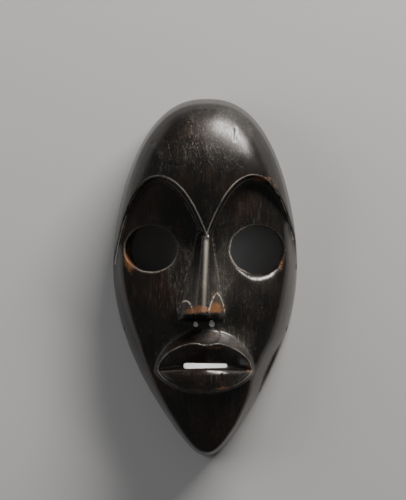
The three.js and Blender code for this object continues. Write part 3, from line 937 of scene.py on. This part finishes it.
def less(value, taken):
    return calculate("SUBTRACT", value, taken)


def blend(amount, below, above):
    """One colour over another, by an amount from 0 to 1."""
    node = tree.nodes.new("ShaderNodeMix")
    node.data_type = "RGBA"
    tree.links.new(amount, node.inputs["Factor"])
    for name, value in (("A", below), ("B", above)):
        socket = next(s for s in node.inputs if s.name == name and s.type == "RGBA")
        if isinstance(value, tuple):
            socket.default_value = (*value, 1)
        else:
            tree.links.new(value, socket)
    return next(s for s in node.outputs if s.type == "RGBA")


def near_zero(distance, core, half_width):
    """1 within the core of a line or spot, and 0 from its half width on."""
    return less(1.0, rise(distance, half_width * core, half_width))


def hairlines(per_mm, half_width):
    """Thin wandering lines, where a noise crosses its middle value."""
    return near_zero(calculate("ABSOLUTE", less(noise(per_mm, 4.0), 0.5)), 0.3, half_width)


# The net of cracks is bent by a noise: its features in a millimetre, and how far it moves the net
WANDER_PER_MM = 0.25
WANDER_BY = 2 * MM


def crackle(per_mm, half_width):
    """A net of fine cracks."""
    wander = tree.nodes.new("ShaderNodeTexNoise")
    wander.inputs["Scale"].default_value = WANDER_PER_MM / MM
    tree.links.new(place, wander.inputs["Vector"])
    bent = tree.nodes.new("ShaderNodeVectorMath")
    bent.operation = "MULTIPLY_ADD"
    bent.inputs[1].default_value = (WANDER_BY, WANDER_BY, WANDER_BY)
    tree.links.new(wander.outputs["Color"], bent.inputs[0])
    tree.links.new(place, bent.inputs[2])
    cells = tree.nodes.new("ShaderNodeTexVoronoi")
    cells.feature = "DISTANCE_TO_EDGE"
    cells.inputs["Scale"].default_value = 1.0
    tree.links.new(stretched(bent.outputs["Vector"], per_mm), cells.inputs["Vector"])
    return near_zero(cells.outputs["Distance"], 0.3, half_width)


def specks(per_mm, radius, chosen_share):
    """Small round specks on this share of the cells of a net."""
    cells = tree.nodes.new("ShaderNodeTexVoronoi")
    cells.inputs["Scale"].default_value = 1.0
    tree.links.new(stretched(place, per_mm), cells.inputs["Vector"])
    split = tree.nodes.new("ShaderNodeSeparateColor")
    tree.links.new(cells.outputs["Color"], split.inputs["Color"])
    chosen = calculate("LESS_THAN", split.outputs["Red"], chosen_share)
    return times(chosen, near_zero(cells.outputs["Distance"], 0.5, radius))


# How far, in millimetres, a light line strays from its edge
LINE_WAVER = 0.9


def thin_line(distance, middle, half_width):
    """A light line along an edge of the carving, a little uneven in its place."""
    waver = times(less(noise((0.5, 0.5, 0.5), 2.0), 0.5), LINE_WAVER)
    off_line = calculate("ABSOLUTE", plus(less(attribute(distance), middle), waver))
    return near_zero(off_line, 0.5, half_width)


# The colours of the wood, its patina, the dust in it, and the painted sheen and highlights
PATINA = (0.0085, 0.0076, 0.0068)
PATINA_WORN = (0.0135, 0.0108, 0.0088)
REDDISH = (0.045, 0.020, 0.011)
DUST_AND_SHEEN = (0.26, 0.24, 0.21)
RUBBED_AND_HIGHLIGHT = (0.60, 0.55, 0.48)
BARE = (0.40, 0.17, 0.055)
BARE_DARK = (0.13, 0.05, 0.02)
BACK = (0.055, 0.030, 0.017)
BACK_DARK = tuple(0.5 * part for part in BACK)

# The noises that the patterns are made of, from broad patches to fine grit. Fibres run along the mask.
bare, pale, inside = (attribute(name) for name in ("bare", "pale", "inside"))
broad = noise((0.03, 0.022, 0.03), 2.0)
mottle = noise((0.12, 0.07, 0.12), 4.0)
fibre = noise((0.9, 0.05, 0.9), 5.0)
fine_fibre = noise((3.0, 0.14, 3.0), 3.0)
grit = noise((1.6, 1.6, 1.6), 3.0)

colour = blend(rise(mottle, 0.42, 0.66), PATINA, PATINA_WORN)
colour = blend(times(rise(broad, 0.46, 0.64, 0.55), rise(fibre, 0.3, 0.7)), colour, REDDISH)

# Dust in the pores, in a net of cracks, in scratches at three angles, in specks and in the creases, and a
# painted sheen beside the nose, on the upper lip and under the right eye
streaks = times(rise(fibre, 0.5, 0.72), rise(grit, 0.36, 0.6))
colour = blend(times(attribute("sheen_and_dust"), plus(0.04, times(mottle, 0.2))), colour, DUST_AND_SHEEN)
colour = blend(plus(times(pale, streaks, 0.30), times(pale, mottle, 0.08)), colour, DUST_AND_SHEEN)
cracks = hairlines((0.16, 0.012, 0.16), 0.006)
scratches = times(crackle((0.27, 0.22, 0.27), 0.028), rise(mottle, 0.42, 0.6), rise(grit, 0.4, 0.55))
for angle in (15, 62, -40):
    strokes = rise(noise((1.1, 0.07, 1.1), 1.0, angle), 0.69, 0.74)
    scratches = calculate("MAXIMUM", scratches, strokes)
colour = blend(times(scratches, plus(times(pale, 0.5), 0.04)), colour, DUST_AND_SHEEN)
dots = specks((1.3, 0.75, 1.3), 0.34, 0.22)
colour = blend(times(dots, plus(times(pale, 0.8), 0.015)), colour, DUST_AND_SHEEN)
colour = blend(times(attribute("crease"), rise(grit, 0.46, 0.62), 0.2), colour, DUST_AND_SHEEN)

# Edges are rubbed lighter, and the ridge of the nose carries a painted highlight. Thin light lines run
# along the brow, lips, nose and eyes: worn on the brow and the nose's feet, partly worn and partly
# painted highlight along the lips, the nose's wings and the eyes' rims
colour = blend(times(attribute("edge"), rise(grit, 0.4, 0.62), 0.14), colour, RUBBED_AND_HIGHLIGHT)
colour = blend(times(attribute("ridge"), plus(0.3, times(mottle, 0.5))), colour, RUBBED_AND_HIGHLIGHT)
brow_line_at = times(thin_line("from_brow", 0.25, 0.5), rise(mottle, 0.3, 0.5), attribute("brow_shine"))
lip_line_at = times(thin_line("from_lips", 0.0, 0.4), rise(mottle, 0.44, 0.62, 0.5))
foot_line_at = times(thin_line("from_foot", 0.0, 0.45), rise(grit, 0.44, 0.56, 0.5))
wing_line_at = times(thin_line("from_wings", 0.0, 0.42), rise(mottle, 0.36, 0.52, 0.9))
rim_at = times(attribute("rim"), rise(grit, 0.34, 0.52, 0.8))
worn_and_highlight_lines = brow_line_at
for line in (lip_line_at, foot_line_at, wing_line_at, rim_at):
    worn_and_highlight_lines = calculate("MAXIMUM", worn_and_highlight_lines, line)
colour = blend(times(worn_and_highlight_lines, 0.8), colour, RUBBED_AND_HIGHLIGHT)

# Bare wood with a ragged border, and the unpolished wood of the hollow
ragged_by = plus(times(less(mottle, 0.5), 1.6), times(less(grit, 0.5), 1.8))
laid_bare = times(rise(plus(bare, ragged_by), 0.5, 0.9), rise(bare, 0.08, 0.3), 0.9)
bare_wood = blend(rise(fine_fibre, 0.35, 0.65), BARE_DARK, BARE)
colour = blend(laid_bare, colour, bare_wood)
back_wood = blend(rise(fibre, 0.35, 0.7), BACK, BACK_DARK)
colour = blend(inside, colour, back_wood)
tree.links.new(colour, shader.inputs["Base Color"])

# Polished by handling, and duller where it is dusty, bare or inside
POLISHED = 0.18
ROUGHEST = 0.9
roughness = plus(POLISHED, times(mottle, 0.10), times(grit, 0.05))
roughness = plus(roughness, times(pale, 0.08), times(laid_bare, 0.25), times(inside, 0.3))
tree.links.new(calculate("MINIMUM", roughness, ROUGHEST), shader.inputs["Roughness"])
shader.inputs["Specular IOR Level"].default_value = 0.6
shader.inputs["Coat Weight"].default_value = 0.3
shader.inputs["Coat Roughness"].default_value = 0.2

# The finest relief: fibres, grit, hairline cracks and scratches
RELIEF = 0.35 * MM
relief = plus(times(fibre, 0.10), times(fine_fibre, 0.05), times(grit, 0.05))
relief = less(relief, times(cracks, 0.5))
relief = less(relief, times(scratches, plus(times(pale, 0.5), 0.06)))
relief = plus(relief, times(laid_bare, grit, 0.3))
bump = tree.nodes.new("ShaderNodeBump")
bump.inputs["Strength"].default_value = 0.6
bump.inputs["Distance"].default_value = RELIEF
tree.links.new(relief, bump.inputs["Height"])
tree.links.new(bump.outputs["Normal"], shader.inputs["Normal"])

mesh.materials.append(material)
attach(mask, "root")
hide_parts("mask")

# Floor, lights and camera, in metres and watts
FLOOR_SIZE = 4
FLOOR_GREY = 0.66
bpy.ops.mesh.primitive_plane_add(size=FLOOR_SIZE, location=(0, 0, 0))
floor = bpy.context.object
floor.name = "floor"
floor_material = bpy.data.materials.new("floor_paper")
floor_material.use_nodes = True
floor_shader = floor_material.node_tree.nodes["Principled BSDF"]
floor_shader.inputs["Base Color"].default_value = (FLOOR_GREY, FLOOR_GREY, FLOOR_GREY, 1)
floor_shader.inputs["Roughness"].default_value = 0.8
floor.data.materials.append(floor_material)


def softbox(name, stand_at, size, power):
    """A soft rectangular light that faces the mask."""
    light = bpy.data.lights.new(name, "AREA")
    light.shape = "RECTANGLE"
    light.size, light.size_y = size
    light.energy = power
    lamp = bpy.data.objects.new(name, light)
    lamp.location = stand_at
    lamp.rotation_euler = (-Vector(stand_at)).to_track_quat("-Z", "Y").to_euler()
    bpy.context.scene.collection.objects.link(lamp)
    return lamp


# The key light is a long, slightly warm box over the upper right
key = softbox("key", (0.61, 1.18, 0.61), (0.96, 0.25), 30)
key.data.color = (1, 0.955, 0.91)
# The fill lightens the shadow on the floor, which the side of the mask reflects
fill = softbox("fill", (-1.3, 0.3, 0.9), (1.2, 0.8), 7)
fill.visible_glossy = False

# A small lamp in the hollow brightens the floor behind the mouth and the nostrils
BEHIND_MOUTH = (0, -0.055, 0.030)
behind = bpy.data.lights.new("behind_mouth", "SPOT")
behind.energy = 0.06
behind.spot_size = math.radians(76)
behind.spot_blend = 0.4
behind.shadow_soft_size = 0.002
behind_lamp = bpy.data.objects.new("behind_mouth", behind)
behind_lamp.location = BEHIND_MOUTH
behind_lamp.visible_camera = False
bpy.context.scene.collection.objects.link(behind_lamp)

# Weak white light from all round
AMBIENT = 0.07
world = bpy.context.scene.world or bpy.data.worlds.new("studio")
bpy.context.scene.world = world
world.use_nodes = True
background = world.node_tree.nodes["Background"]
background.inputs["Color"].default_value = (1, 1, 1, 1)
background.inputs["Strength"].default_value = AMBIENT

camera_height = LENS_MM / SENSOR_MM * FRAME_PIXELS * PIXEL_MM * MM
camera_data = bpy.data.cameras.new("camera")
camera_data.lens = LENS_MM
camera_data.sensor_width = SENSOR_MM
camera_data.clip_end = 100
camera = bpy.data.objects.new("camera", camera_data)
camera.location = (VIEW_CENTRE[0] * MM, VIEW_CENTRE[1] * MM, camera_height)
bpy.context.scene.collection.objects.link(camera)
bpy.context.scene.camera = camera
